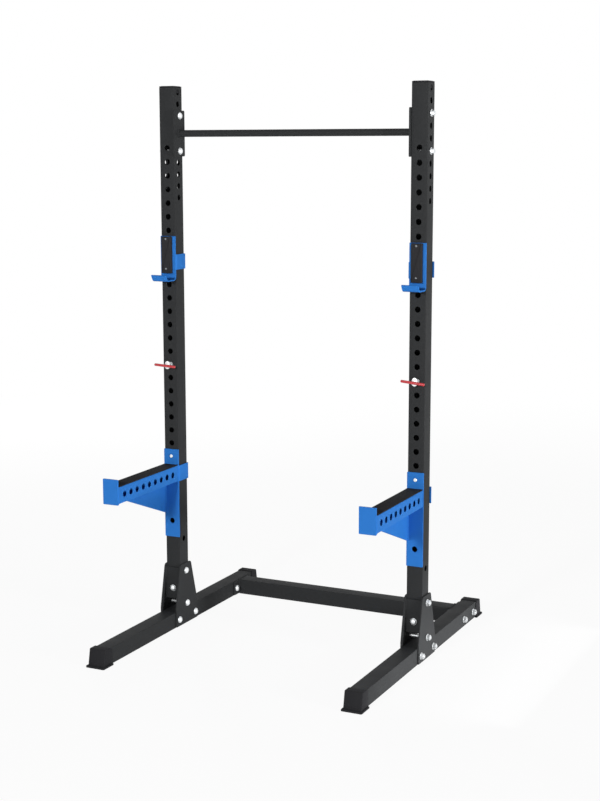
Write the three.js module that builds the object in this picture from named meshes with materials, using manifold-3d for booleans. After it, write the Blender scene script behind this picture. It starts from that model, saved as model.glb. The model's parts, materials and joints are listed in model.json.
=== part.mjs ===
// Half rack: two drilled square uprights on long feet, tied by a rear crossmember and a pull-up bar,
// with hook-on J-hooks, hook-on safety arms and a T-pin in each upright.
// Millimetres. +X is to the right, +Y to the rear and +Z up.
// The origin is on the floor, midway between the uprights and midway along the feet.
import * as THREE from 'three';
import { mergeVertices } from 'three/addons/utils/BufferGeometryUtils.js';
import Module from 'manifold-3d';

const wasm = await Module();
wasm.setup();

// Square tube that the uprights, feet, crossmember and safety arms are cut from
const tubeSide = 60;
const tubeWall = 3;
const tubeCorner = 1.5;

// Clearance between pieces that touch, and how far a cutter runs past what it cuts
const seatGap = 0.3;
const overrun = 8;

// Overall layout
const rackSpan = 988.5;
const footLength = 1150;
const uprightForward = 14;
const uprightGap = 48;
const uprightLength = 1921;

// Holes of the uprights: a front row for hooks, arms and pins, and a row in the sides near the top
const holeSize = 21;
const frontHoles = 29;
const frontPitch = 50;
const frontHoleRise = 303.8;
const sideHoles = 10;
const sidePitch = 42.3;
const sideHoleDrop = 16.6;
const lowSideHoleRise = 229.5;

// Plug in the top of each upright
const plugPlate = 5.7;
const plugDepth = 20;
const plugWall = 3;
const plugFit = 0.4;

// Moulded cap on each end of the feet
const capWall = 2.7;
const capSleeve = 38;
const capTopReach = 6;
const capSlant = 13;
const capScoop = 14;
const soleFlange = 5;
const soleHeight = 7;
const soleReach = 8;
const capLedge = 5;

// Crossmember between the feet, its axis measured from the rear end of the foot tube
const crossInset = 121;
const flangeWidth = 145;
const flangeHeight = 56;
const flangePlate = 5;
const flangeCorner = 6;
const flangeBoltSpan = 105;
const ventSize = 14;

// Base bracket round the foot of each upright, heights over the underside of the foot tube
const bracketPlate = 5;
const bracketTop = 240;
const bracketKnee = 75;
const bracketFoot = 2;
const bracketTopFront = 38;
const bracketTopRear = 40;
const bracketKneeFront = 73;
const bracketKneeRear = 85;
const bracketFootRear = 88;
const bracketCorner = 12;
const bracketFootCorner = 5;
const webFoot = 105;

// Bolt places in the base bracket, from the axis of the upright and the underside of the foot tube
const topBoltBack = 2;
const topBoltRise = 210.7;
const midBoltBack = 8;
const midBoltRise = 80.5;
const rearBoltBack = 70;
const frontBoltForward = 52;
const footBoltRise = 29;
const webBoltRise = 146.5;

// Hexagon bolt with washers and nut
const boltSize = 12;
const boltClearance = 1;
const hexFlats = 19;
const headHeight = 7.5;
const washerSize = 24;
const washerThick = 2.5;
const nutHeight = 10.8;
const threadEnd = 6.5;

// Pull-up bar, its bolts placed by the rows of holes above them
const barSize = 25;
const barWall = 2.5;
const barPlateHeight = 166;
const barPlateWidth = 76;
const barPlateThick = 6;
const barPlateCorner = 5;
const barUpperRows = 2;
const barLowerRows = 5;

// Sheet of the hook-on pieces, and the strap that wraps the inner side and the rear of the upright
const sheet = 5;
const mountWidth = 62;
const wrapOverhang = 5;
const pegSize = 19;
const pegReach = 24;
const mountCorner = 2;

// J-hook, placed by the rows of holes above it, heights from its peg
const hookRows = 7;
const hookRise = 29.2;
const hookDrop = 134.8;
const hookBend = 10;
const trayForward = 95.5;
const lipRise = 24;
const lipBend = 11;
const lipSlopeShare = 1 / 3;
const hookWrapDrop = 37.8;
const hookWrapHeight = 56;

// Pad on the face of the J-hook
const padWidth = 39;
const padThick = 17.4;
const padHeight = 135;
const padDrop = 1;
const padCorner = 3;
const screwSize = 6;
const screwHead = 12;
const screwHeadHeight = 3.5;
const screwProud = 1;
const screwInset = 9;
const screwSpan = 110;
const screwClearance = 0.5;

// Safety arm, placed by the rows of holes above it, heights from its pin
const armRows = 23;
const armPlateRise = 27.2;
const armPlateDrop = 312.8;
const armLength = 419.7;
const armDrop = 33.8;
const armHoleSize = 21;
const armHoles = 9;
const armHolePitch = 42.25;
const armHoleInset = 40.1;
const armOpenRows = 5;
const endPlate = 6;
const endPlateLip = 28.5;
const endPlateFoot = 4;
const gussetLength = 333;
const gussetDepth = 127;
const gussetNose = 3;
const linerThick = 3;
const linerWidth = 58;
const linerCorner = 1;

// Pin riveted in the plate of the safety arm
const armPinReach = 26;
const armPinNeck = 13;
const armPinProud = 1;

// T-pin, placed by the rows of holes above it
const pinRows = 16;
const pinPast = 12;
const collarSize = 27;
const collarLength = 24;
const stemSize = 10;
const handleForward = 17;
const handleSize = 9.5;
const handleLength = 90;
const headSize = 17;
const headLength = 18;

// Sides of the round shapes
const boreSides = 8;
const boltHoleSides = 6;
const shankSides = 6;
const washerSides = 6;
const pinSides = 8;
const barSides = 14;
const hexSides = 6;
const cornerSteps = 1;
const bendSteps = 2;

// Heights and places that follow from the sizes above
const tubeHalf = tubeSide / 2;
const footUnder = capWall + seatGap;
const footTop = footUnder + tubeSide;
const uprightFoot = footTop + uprightGap;
const uprightTop = uprightFoot + uprightLength;
const faceGap = tubeHalf + seatGap;
const frontHoleHeight = (row) => uprightFoot + frontHoleRise + (frontHoles - 1 - row) * frontPitch;
const sideHoleHeight = (row) => uprightTop - sideHoleDrop - row * sidePitch;
const barHeight = (sideHoleHeight(barUpperRows) + sideHoleHeight(barLowerRows)) / 2;
const crossBack = footLength / 2 - crossInset;
const padTop = hookRise - padDrop;
const screwRises = [padTop - screwInset, padTop - screwInset - screwSpan];

// Finishes
const blackPaint = () =>
  new THREE.MeshStandardMaterial({ color: 0x17181a, roughness: 0.55, metalness: 0.3 });
const bluePaint = () =>
  new THREE.MeshStandardMaterial({ color: 0x1667cf, roughness: 0.45, metalness: 0.2 });
const zinc = () =>
  new THREE.MeshStandardMaterial({ color: 0xb9bcc0, roughness: 0.35, metalness: 0.9 });
const redVinyl = () =>
  new THREE.MeshStandardMaterial({ color: 0xc4232b, roughness: 0.4, metalness: 0 });
const blackPlastic = () =>
  new THREE.MeshStandardMaterial({ color: 0x121213, roughness: 0.6, metalness: 0 });

// A closed geometry as a solid that can be cut and joined.
function solidOf(geometry) {
  const bare = geometry.clone();
  bare.deleteAttribute('normal');
  bare.deleteAttribute('uv');
  const merged = mergeVertices(bare);
  return new wasm.Manifold(new wasm.Mesh({
    numProp: 3,
    vertProperties: merged.getAttribute('position').array,
    triVerts: new Uint32Array(merged.index.array),
  }));
}

// A solid back as a geometry for a mesh.
function geometryOf(solid) {
  const { vertProperties, triVerts } = solid.getMesh();
  const geometry = new THREE.BufferGeometry();
  geometry.setAttribute('position', new THREE.BufferAttribute(vertProperties, 3));
  geometry.setIndex(new THREE.BufferAttribute(triVerts, 1));
  geometry.computeVertexNormals();
  return geometry;
}

const join = (solids) => solids.reduce((whole, piece) => whole.add(piece));
const cut = (solid, cutters) => cutters.reduce((left, cutter) => left.subtract(cutter), solid);
const series = (count, make) => Array.from({ length: count }, (_, i) => make(i));

// Closed outline through corners [x, y, radius], each corner rounded by its own radius.
function outline(corners) {
  const shape = new THREE.Shape();
  corners.forEach(([x, y, radius = 0], i) => {
    const corner = new THREE.Vector2(x, y);
    const [beforeX, beforeY] = corners.at(i - 1);
    const [afterX, afterY] = corners[(i + 1) % corners.length];
    const back = new THREE.Vector2(beforeX, beforeY).sub(corner).normalize();
    const ahead = new THREE.Vector2(afterX, afterY).sub(corner).normalize();
    const half = Math.acos(THREE.MathUtils.clamp(back.dot(ahead), -1, 1)) / 2;
    if (radius === 0) {
      if (i === 0) shape.moveTo(x, y);
      else shape.lineTo(x, y);
      return;
    }
    const tangent = radius / Math.tan(half);
    const start = corner.clone().addScaledVector(back, tangent);
    const end = corner.clone().addScaledVector(ahead, tangent);
    const inward = back.clone().add(ahead).normalize();
    const centre = corner.clone().addScaledVector(inward, radius / Math.sin(half));
    const clockwise = ahead.cross(back) < 0;
    if (i === 0) shape.moveTo(start.x, start.y);
    shape.absarc(
      centre.x,
      centre.y,
      radius,
      start.clone().sub(centre).angle(),
      end.clone().sub(centre).angle(),
      clockwise,
    );
  });
  shape.closePath();
  return shape;
}

// Corners of an upright rectangle, all rounded alike.
const rectangle = (x0, x1, y0, y1, radius = 0) => [
  [x0, y0, radius],
  [x1, y0, radius],
  [x1, y1, radius],
  [x0, y1, radius],
];

// Outline of a sheet folded along its middle line, with one inside radius for its folds.
function foldedSheet(path, thickness, insideRadius) {
  const onLeft = [];
  const onRight = [];
  path.forEach(([x, y, radius = insideRadius], i) => {
    const here = new THREE.Vector2(x, y);
    const next = path[i + 1] ?? null;
    const last = path[i - 1] ?? null;
    const ahead = next && new THREE.Vector2(next[0], next[1]).sub(here).normalize();
    const came = last && here.clone().sub(new THREE.Vector2(last[0], last[1])).normalize();
    const leaving = ahead ?? came;
    const arriving = came ?? ahead;
    const normal = new THREE.Vector2(-arriving.y, arriving.x);
    const middle = new THREE.Vector2(-leaving.y, leaving.x).add(normal).normalize();
    const reach = thickness / 2 / middle.dot(normal);
    const turn = arriving.cross(leaving);
    const free = !next || !last;
    const inner = free ? 0 : radius;
    const outer = free ? 0 : radius + thickness;
    onLeft.push([x + middle.x * reach, y + middle.y * reach, turn > 0 ? inner : outer]);
    onRight.push([x - middle.x * reach, y - middle.y * reach, turn > 0 ? outer : inner]);
  });
  return [...onRight, ...onLeft.reverse()];
}

const facing = {
  x: new THREE.Matrix4().makeBasis(
    new THREE.Vector3(0, 1, 0),
    new THREE.Vector3(0, 0, 1),
    new THREE.Vector3(1, 0, 0),
  ),
  y: new THREE.Matrix4().makeBasis(
    new THREE.Vector3(0, 0, 1),
    new THREE.Vector3(1, 0, 0),
    new THREE.Vector3(0, 1, 0),
  ),
  z: new THREE.Matrix4(),
};

// A prism along an axis between two places on it.
// Corners are (y, z) for x, (z, x) for y and (x, y) for z.
function prism(axis, from, to, corners, steps = cornerSteps) {
  const shape = Array.isArray(corners) ? outline(corners) : corners;
  const geometry = new THREE.ExtrudeGeometry(shape, {
    depth: to - from,
    bevelEnabled: false,
    curveSegments: steps,
  });
  geometry.translate(0, 0, from);
  geometry.applyMatrix4(facing[axis]);
  return solidOf(geometry);
}

// A rod along an axis, with its two other coordinates in the order that prism takes.
function rod(axis, from, to, size, [u, v] = [0, 0], sides = pinSides) {
  const geometry = new THREE.CylinderGeometry(size / 2, size / 2, to - from, sides);
  geometry.rotateX(Math.PI / 2);
  geometry.translate(u, v, (from + to) / 2);
  geometry.applyMatrix4(facing[axis]);
  return solidOf(geometry);
}

// A rod that cuts a hole whose flats lie on the stated size.
const bore = (axis, from, to, size, place, sides = boreSides) =>
  rod(axis, from, to, size / Math.cos(Math.PI / sides), place, sides);

// Square tube along an axis, open at both ends.
function squareTube(axis, from, to) {
  const shape = outline(rectangle(-tubeHalf, tubeHalf, -tubeHalf, tubeHalf, tubeCorner));
  const inside = tubeHalf - tubeWall;
  shape.holes.push(outline(rectangle(-inside, inside, -inside, inside)));
  return prism(axis, from, to, shape);
}

// Bolt holes through a tube, crossing both of its walls.
const boltHole = (axis, place) =>
  bore(axis, -tubeHalf - overrun, tubeHalf + overrun, boltSize + boltClearance, place, boltHoleSides);

// Upright, standing on its lower end
function upright() {
  const across = [-tubeHalf - overrun, tubeHalf + overrun];
  const front = series(frontHoles, (row) =>
    bore('y', ...across, holeSize, [frontHoleRise + row * frontPitch, 0]));
  const sides = series(sideHoles, (row) =>
    bore('x', ...across, holeSize, [0, uprightLength - sideHoleDrop - row * sidePitch]));
  const lowSide = bore('x', ...across, holeSize, [0, lowSideHoleRise]);
  const lift = uprightFoot - footUnder;
  const bracketBolt = boltHole('x', [topBoltBack, topBoltRise - lift]);
  const webBolt = boltHole('y', [webBoltRise - lift, 0]);
  return cut(squareTube('z', 0, uprightLength), [...front, ...sides, lowSide, bracketBolt, webBolt]);
}

// Plug in the top of the upright, with its underside open
function uprightPlug() {
  const plugHalf = tubeHalf - tubeWall - plugFit;
  const inside = plugHalf - plugWall;
  const plate = prism('z', 0, plugPlate, rectangle(-tubeHalf, tubeHalf, -tubeHalf, tubeHalf, tubeCorner));
  const stem = prism('z', -plugDepth, plugPlate / 2, rectangle(-plugHalf, plugHalf, -plugHalf, plugHalf));
  const hollow = prism('z', -plugDepth - overrun, 0, rectangle(-inside, inside, -inside, inside));
  return cut(join([plate, stem]), [hollow]);
}

// Foot tube along Y about its middle, with cross holes for the bracket and the crossmember
function foot() {
  const bracketPlaces = [rearBoltBack, -frontBoltForward].map((y) => y - uprightForward);
  const crossPlaces = [-1, 1].map((way) => crossBack + way * flangeBoltSpan / 2);
  const rise = footBoltRise - tubeHalf;
  const holes = [...bracketPlaces, ...crossPlaces].map((y) => boltHole('x', [y, rise]));
  return cut(squareTube('y', -footLength / 2, footLength / 2), holes);
}

// Cap on the end of a foot: a sleeve with a sloping end, on a wider sole. Its tube comes in along +Y.
function footCap() {
  const wide = tubeHalf + seatGap + capWall;
  const high = footTop + seatGap + capWall;
  const body = prism('x', -wide, wide, [
    [-capSleeve, 0],
    [capTopReach + capSlant, 0],
    [capTopReach, high, capWall],
    [-capSleeve, high, capScoop],
  ], bendSteps);
  const flangeEnd = capTopReach + capSlant + soleReach;
  const flangeHalf = wide + soleFlange;
  const sole = prism('z', 0, soleHeight, [
    [-flangeHalf, -capSleeve],
    [flangeHalf, -capSleeve],
    [flangeHalf, flangeEnd, soleFlange],
    [-flangeHalf, flangeEnd, soleFlange],
  ]);
  const socketSide = rectangle(-capSleeve - overrun, seatGap, capWall, footTop + seatGap);
  const socket = prism('x', -faceGap, faceGap, socketSide);
  const ledge = faceGap - capLedge;
  const recess = prism('x', -ledge, ledge, [
    [-overrun, capWall + capLedge],
    [capTopReach + capSlant - capWall - capLedge * capSlant / high, capWall + capLedge],
    [capTopReach - capWall + capLedge * capSlant / high, footTop - capLedge],
    [-overrun, footTop - capLedge],
  ]);
  return cut(join([body, sole]), [socket, recess]);
}

// Crossmember along X: a square tube welded to a flange at each end
function crossmember() {
  const reach = rackSpan / 2 - faceGap;
  const flanges = [-1, 1].map((way) => {
    const faces = [way * (reach - flangePlate), way * reach].sort((a, b) => a - b);
    const halfWide = flangeWidth / 2;
    const plate = rectangle(-halfWide, halfWide, -flangeHeight / 2, flangeHeight / 2, flangeCorner);
    const boltPlaces = [-1, 1].map((side) => [side * flangeBoltSpan / 2, footBoltRise - tubeHalf]);
    const through = [faces[0] - overrun, faces[1] + overrun];
    const holes = boltPlaces.map((place) =>
      bore('x', ...through, boltSize + boltClearance, place, boltHoleSides));
    return cut(prism('x', ...faces, plate), holes);
  });
  const inner = reach - flangePlate / 2;
  const tube = squareTube('x', -inner, inner);
  const vents = bore('x', -reach - overrun, reach + overrun, ventSize, [0, 0], boltHoleSides);
  return cut(join([tube, ...flanges]), [vents]);
}

// Base bracket: two side plates welded to a web across the front of the upright
function baseBracket() {
  const side = [
    [-bracketKneeFront, bracketFoot, bracketFootCorner],
    [bracketFootRear, bracketFoot, bracketFootCorner],
    [bracketKneeRear, bracketKnee, bracketCorner],
    [bracketTopRear, bracketTop, bracketCorner],
    [-bracketTopFront, bracketTop, bracketCorner],
    [-bracketKneeFront, bracketKnee, bracketCorner],
  ];
  const outer = faceGap + bracketPlate;
  const plates = [prism('x', faceGap, outer, side), prism('x', -outer, -faceGap, side)];
  const weld = faceGap + bracketPlate / 2;
  const webFace = rectangle(webFoot, bracketTop - bracketCorner, -weld, weld);
  const web = prism('y', -faceGap - bracketPlate, -faceGap, webFace);
  const places = [
    [topBoltBack, topBoltRise],
    [midBoltBack, midBoltRise],
    [rearBoltBack, footBoltRise],
    [-frontBoltForward, footBoltRise],
  ];
  const holes = places.map((place) =>
    bore('x', -outer - overrun, outer + overrun, boltSize + boltClearance, place, boltHoleSides));
  const webHole = bore(
    'y',
    -faceGap - bracketPlate - overrun,
    0,
    boltSize + boltClearance,
    [webBoltRise, 0],
    boltHoleSides,
  );
  return cut(join([...plates, web]), [...holes, webHole]);
}

// Bolt along Z through a stack of the stated thickness about the origin: head below, nut above
function bolt(grip) {
  const seat = grip / 2 + seatGap;
  const hexSize = hexFlats / Math.cos(Math.PI / hexSides);
  const headTop = -seat - washerThick - headHeight;
  const nutTop = seat + washerThick + nutHeight;
  return join([
    rod('z', headTop + headHeight / 2, nutTop + threadEnd, boltSize, [0, 0], shankSides),
    rod('z', -seat - washerThick, -seat, washerSize, [0, 0], washerSides),
    rod('z', headTop, -seat - washerThick, hexSize, [0, 0], hexSides),
    rod('z', seat, seat + washerThick, washerSize, [0, 0], washerSides),
    rod('z', seat + washerThick, nutTop, hexSize, [0, 0], hexSides),
  ]);
}

// Pull-up bar along X: a round tube welded to a plate at each end
function pullUpBar() {
  const reach = rackSpan / 2 - faceGap;
  const halfWide = barPlateWidth / 2;
  const halfHigh = barPlateHeight / 2;
  const boltRise = (barLowerRows - barUpperRows) * sidePitch / 2;
  const plates = [-1, 1].map((way) => {
    const faces = [way * (reach - barPlateThick), way * reach].sort((a, b) => a - b);
    return prism('x', ...faces, rectangle(-halfWide, halfWide, -halfHigh, halfHigh, barPlateCorner));
  });
  const inner = reach - barPlateThick / 2;
  const tube = rod('x', -inner, inner, barSize, [0, 0], barSides);
  const through = [-reach - overrun, reach + overrun];
  const holes = [-1, 1].map((way) =>
    bore('x', ...through, boltSize + boltClearance, [0, way * boltRise], boltHoleSides));
  const hollow = rod('x', ...through, barSize - barWall * 2, [0, 0], pinSides);
  return cut(join([tube, ...plates]), [...holes, hollow]);
}

// Strap of a hook-on piece: from its plate round the inner side of the upright and across the rear
function wrapStrap(inner, foot, height) {
  const line = faceGap + sheet / 2;
  const path = [
    [0, -line],
    [inner * line, -line],
    [inner * line, line],
    [-inner * (tubeHalf + wrapOverhang), line],
  ];
  return prism('z', foot, foot + height, foldedSheet(path, sheet, tubeCorner));
}

// Peg of a hook-on piece, from its plate into the upright
const peg = (reach) => rod('y', -faceGap - sheet / 2, reach - faceGap, pegSize);

// J-hook about the axis of its peg, with its strap on the inner side
function jHook(inner) {
  const halfWide = mountWidth / 2;
  const lipSlope = Math.PI * lipSlopeShare;
  const plateLine = -faceGap - sheet / 2;
  const trayLine = -hookDrop + sheet / 2;
  const fold = -trayForward + sheet / 2 * Math.tan(lipSlope / 2);
  const lipRun = (lipRise - sheet / 2) / Math.tan(lipSlope);
  const profile = foldedSheet([
    [plateLine, hookRise],
    [plateLine, trayLine],
    [fold, trayLine, lipBend],
    [fold - lipRun, trayLine + lipRise - sheet / 2],
  ], sheet, hookBend);
  const plate = prism('x', -halfWide, halfWide, profile, bendSteps);
  const strap = wrapStrap(inner, -hookWrapDrop - hookWrapHeight, hookWrapHeight);
  const screwHoles = screwRises.map((rise) =>
    bore('y', -faceGap - sheet - overrun, 0, screwSize + screwClearance, [rise, 0], boltHoleSides));
  return cut(join([plate, strap, peg(pegReach)]), screwHoles);
}

// Pad on the face of the J-hook, with a counterbore for each screw
function hookPad() {
  const back = -faceGap - sheet - seatGap;
  const face = back - padThick;
  const block = prism('z', padTop - padHeight, padTop, [
    [-padWidth / 2, back],
    [-padWidth / 2, face, padCorner],
    [padWidth / 2, face, padCorner],
    [padWidth / 2, back],
  ]);
  const holes = screwRises.flatMap((rise) => [
    bore('y', face - overrun, 0, screwSize + screwClearance, [rise, 0], boltHoleSides),
    bore('y', face - overrun, face + screwHeadHeight - screwProud, screwHead + screwClearance, [rise, 0]),
  ]);
  return cut(block, holes);
}

// Screw of the pad about its own axis, with its face towards -Y and its seat in the pad
function padScrew() {
  const face = -faceGap - sheet - seatGap - padThick;
  const seat = face + screwHeadHeight - screwProud - seatGap;
  const tip = -faceGap - seatGap;
  return join([
    rod('y', seat - screwHeadHeight, seat, screwHead, [0, 0], boreSides),
    rod('y', seat - screwHeadHeight / 2, tip, screwSize, [0, 0], shankSides),
  ]);
}

// Safety arm about the axis of its pin, with its strap on the inner side
function safetyArm(inner) {
  const halfWide = mountWidth / 2;
  const plateBack = -faceGap;
  const plateFace = plateBack - sheet;
  const armEnd = plateFace - armLength;
  const armTop = -armDrop;
  const armUnder = armTop - tubeSide;
  const plateSide = rectangle(-armPlateDrop, armPlateRise, -halfWide, halfWide, mountCorner);
  const plate = prism('y', plateFace, plateBack, plateSide);
  const tubeRear = plateFace + sheet / 2;
  const tube = squareTube('y', armEnd - endPlate / 2, tubeRear).translate(0, 0, armUnder + tubeHalf);
  const end = prism('y', armEnd - endPlate, armEnd, rectangle(
    armUnder - endPlateFoot,
    armTop + endPlateLip,
    -halfWide,
    halfWide,
    mountCorner,
  ));
  const gusset = prism('x', -tubeHalf, -tubeHalf + sheet, [
    [plateFace + sheet / 2, armUnder + tubeWall / 2],
    [plateFace + sheet / 2, armUnder - gussetDepth],
    [plateFace - gussetNose, armUnder - gussetDepth],
    [plateFace - gussetLength, armUnder - gussetNose],
    [plateFace - gussetLength, armUnder + tubeWall / 2],
  ]);
  const strap = wrapStrap(inner, armUnder, tubeSide);
  const sideHoleRow = series(armHoles, (i) => bore(
    'x',
    -tubeHalf - sheet - overrun,
    tubeHalf + sheet + overrun,
    armHoleSize,
    [plateFace - armHoleInset - i * armHolePitch, armUnder + tubeHalf],
  ));
  const rivetHole = bore('y', plateFace - overrun, 0, armPinNeck + seatGap * 2, [0, 0], pinSides);
  const openHole = bore('y', plateFace - overrun, 0, holeSize, [-armOpenRows * frontPitch, 0], pinSides);
  return cut(join([plate, tube, end, gusset, strap]), [...sideHoleRow, rivetHole, openHole]);
}

// Liner on top of the safety arm, between the plate and the end plate
function armLiner() {
  const rear = -faceGap - sheet - seatGap;
  const front = -faceGap - sheet - armLength + seatGap;
  const under = -armDrop + seatGap;
  const half = linerWidth / 2;
  return prism('y', front, rear, [
    [under, -half],
    [under + linerThick, -half, linerCorner],
    [under + linerThick, half, linerCorner],
    [under, half],
  ]);
}

// Pin of the safety arm: a neck riveted in the plate and a full shank in the upright
function armPin() {
  const shoulder = -faceGap + seatGap;
  return join([
    rod('y', shoulder, shoulder + armPinReach, pegSize),
    rod('y', -faceGap - sheet - armPinProud, shoulder + armPinReach / 2, armPinNeck),
  ]);
}

// T-pin through both walls of the upright: shank, collar, stem and the head that its grip passes through
function tPin() {
  const collarBack = -faceGap;
  const collarFace = collarBack - collarLength;
  const grip = collarFace - handleForward;
  const headFace = grip - headLength / 2;
  const gripHole = bore('x', -headSize, headSize, handleSize + seatGap * 2, [grip, 0], boreSides);
  const solid = join([
    rod('y', collarBack - collarLength / 2, tubeHalf + pinPast, pegSize),
    rod('y', collarFace, collarBack, collarSize),
    rod('y', grip, collarBack - collarLength / 2, stemSize, [0, 0], boreSides),
    rod('y', headFace, headFace + headLength, headSize),
  ]);
  return cut(solid, [gripHole]);
}

// Grip of the T-pin: a bar through the head of its stem
function tHandle() {
  const grip = -faceGap - collarLength - handleForward;
  return rod('x', -handleLength / 2, handleLength / 2, handleSize, [grip, 0], boreSides);
}

// A named mesh of a solid in a finish, placed in its group.
function piece(group, name, solid, finish, [x, y, z] = [0, 0, 0]) {
  const mesh = new THREE.Mesh(geometryOf(solid), finish());
  mesh.name = name;
  mesh.position.set(x, y, z);
  group.add(mesh);
  return mesh;
}

// Bolts along X with the nut towards one way, about the middle of the stack that they clamp.
function boltAcross(group, name, grip, way, [x, y, z]) {
  const mesh = piece(group, name, bolt(grip), zinc, [x, y, z]);
  mesh.rotation.y = way * Math.PI / 2;
}

const rack = new THREE.Group();

// One side of the rack: everything that stands on, hangs from or ends in one foot
function rackSide(name, way) {
  const inner = -way;
  const side = new THREE.Group();
  side.position.x = way * rackSpan / 2;
  rack.add(side);

  piece(side, `${name}_foot`, foot(), blackPaint, [0, 0, footUnder + tubeHalf]);
  const frontCap = piece(side, `${name}_front_foot_cap`, footCap(), blackPlastic, [0, -footLength / 2, 0]);
  frontCap.rotation.z = Math.PI;
  piece(side, `${name}_rear_foot_cap`, footCap(), blackPlastic, [0, footLength / 2, 0]);

  const post = new THREE.Group();
  post.position.y = -uprightForward;
  side.add(post);
  piece(post, `${name}_upright`, upright(), blackPaint, [0, 0, uprightFoot]);
  piece(post, `${name}_upright_plug`, uprightPlug(), blackPlastic, [0, 0, uprightTop + seatGap]);
  piece(post, `${name}_base_bracket`, baseBracket(), blackPaint, [0, 0, footUnder]);

  const bracketGrip = (faceGap + bracketPlate) * 2;
  const bracketBolts = {
    top: [topBoltBack, topBoltRise],
    middle: [midBoltBack, midBoltRise],
    rear: [rearBoltBack, footBoltRise],
    front: [-frontBoltForward, footBoltRise],
  };
  Object.entries(bracketBolts).forEach(([place, [y, z]]) =>
    boltAcross(post, `${name}_bracket_${place}_bolt`, bracketGrip, way, [0, y, footUnder + z]));
  const webGrip = tubeSide + seatGap + bracketPlate;
  const webMiddle = (tubeHalf - faceGap - bracketPlate) / 2;
  const webPlace = [0, webMiddle, footUnder + webBoltRise];
  const webBolt = piece(post, `${name}_bracket_web_bolt`, bolt(webGrip), zinc, webPlace);
  webBolt.rotation.x = -Math.PI / 2;

  const barGrip = tubeSide + seatGap + barPlateThick;
  const barMiddle = inner * (faceGap + barPlateThick - tubeHalf) / 2;
  const barBolts = { upper: barUpperRows, lower: barLowerRows };
  Object.entries(barBolts).forEach(([place, row]) =>
    boltAcross(post, `${name}_bar_${place}_bolt`, barGrip, way, [barMiddle, 0, sideHoleHeight(row)]));

  const crossGrip = tubeSide + seatGap + flangePlate;
  const crossMiddle = inner * (faceGap + flangePlate - tubeHalf) / 2;
  const crossBolts = { front: -1, rear: 1 };
  Object.entries(crossBolts).forEach(([place, sign]) =>
    boltAcross(side, `${name}_crossmember_${place}_bolt`, crossGrip, way, [
      crossMiddle,
      crossBack + sign * flangeBoltSpan / 2,
      footUnder + footBoltRise,
    ]));

  const hook = new THREE.Group();
  hook.position.z = frontHoleHeight(hookRows);
  post.add(hook);
  piece(hook, `${name}_j_hook`, jHook(inner), bluePaint);
  piece(hook, `${name}_j_hook_pad`, hookPad(), blackPlastic);
  ['upper', 'lower'].forEach((place, i) =>
    piece(hook, `${name}_j_hook_${place}_screw`, padScrew(), zinc, [0, 0, screwRises[i]]));

  const arm = new THREE.Group();
  arm.position.z = frontHoleHeight(armRows);
  post.add(arm);
  piece(arm, `${name}_safety_arm`, safetyArm(inner), bluePaint);
  piece(arm, `${name}_safety_arm_liner`, armLiner(), blackPlastic);
  piece(arm, `${name}_safety_arm_pin`, armPin(), zinc);

  const pin = new THREE.Group();
  pin.position.z = frontHoleHeight(pinRows);
  post.add(pin);
  piece(pin, `${name}_t_pin`, tPin(), zinc);
  piece(pin, `${name}_t_pin_handle`, tHandle(), redVinyl);
}

rackSide('left', -1);
rackSide('right', 1);
piece(rack, 'crossmember', crossmember(), blackPaint, [0, crossBack, footUnder + tubeHalf]);
piece(rack, 'pull_up_bar', pullUpBar(), blackPaint, [0, -uprightForward, barHeight]);

export default rack;
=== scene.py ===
"""Looks of a half rack: drilled square uprights on long feet, pull-up bar, J-hooks, safety arms and T-pins.

Metres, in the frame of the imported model: +X to the right, +Y to the rear, +Z up.
"""

import json
import logging
import math
from collections.abc import Iterable, Sequence
from dataclasses import dataclass, field, replace
from enum import Enum

import bmesh
import bpy
from mathutils import Matrix, Vector


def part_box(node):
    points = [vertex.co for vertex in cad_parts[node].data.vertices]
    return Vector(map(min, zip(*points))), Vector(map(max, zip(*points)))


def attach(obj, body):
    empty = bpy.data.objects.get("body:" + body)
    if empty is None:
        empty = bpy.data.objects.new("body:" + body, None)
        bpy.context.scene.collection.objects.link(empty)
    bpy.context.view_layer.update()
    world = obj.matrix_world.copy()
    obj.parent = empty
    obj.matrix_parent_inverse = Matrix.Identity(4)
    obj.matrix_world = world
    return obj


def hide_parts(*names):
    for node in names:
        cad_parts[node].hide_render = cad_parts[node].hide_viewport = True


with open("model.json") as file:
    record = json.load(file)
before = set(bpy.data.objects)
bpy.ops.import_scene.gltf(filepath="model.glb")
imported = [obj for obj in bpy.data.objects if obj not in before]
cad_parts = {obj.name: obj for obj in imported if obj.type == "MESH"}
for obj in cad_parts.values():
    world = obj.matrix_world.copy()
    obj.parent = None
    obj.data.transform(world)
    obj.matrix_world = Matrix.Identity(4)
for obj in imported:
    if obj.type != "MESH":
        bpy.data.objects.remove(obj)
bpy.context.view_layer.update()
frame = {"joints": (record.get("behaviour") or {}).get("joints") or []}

log = logging.getLogger("half_rack")

MM = 0.001
ROUND_STEPS = 6
FINE_STEPS = 10
BORE_SIDES = 36
FINE_SIDES = 48
SMOOTH_BELOW = math.radians(24)
CORNER_ABOVE = math.radians(38)
FRAME_BODY = "rack_frame"
RIPPLE_STEPS = 4.0
NOISE_SPAN = (0.3, 0.7)
WHITE = (1.0, 1.0, 1.0, 1.0)

Triple = tuple[float, float, float]
Outline = Sequence[tuple[float, float]]
Mesh = bpy.types.Mesh
Tree = bpy.types.NodeTree
Socket = bpy.types.NodeSocket


class Axis(Enum):
    """Axis that a section is pushed along, with the order of its other two coordinates."""

    X = (2, 0, 1)
    Y = (1, 2, 0)
    Z = (0, 1, 2)

    def place(self, u: float, v: float, along: float) -> Vector:
        """Point at u, v of the section (y, z for X; z, x for Y; x, y for Z) and along the axis."""
        given = (u, v, along)
        return Vector(given[i] for i in self.value)


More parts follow.
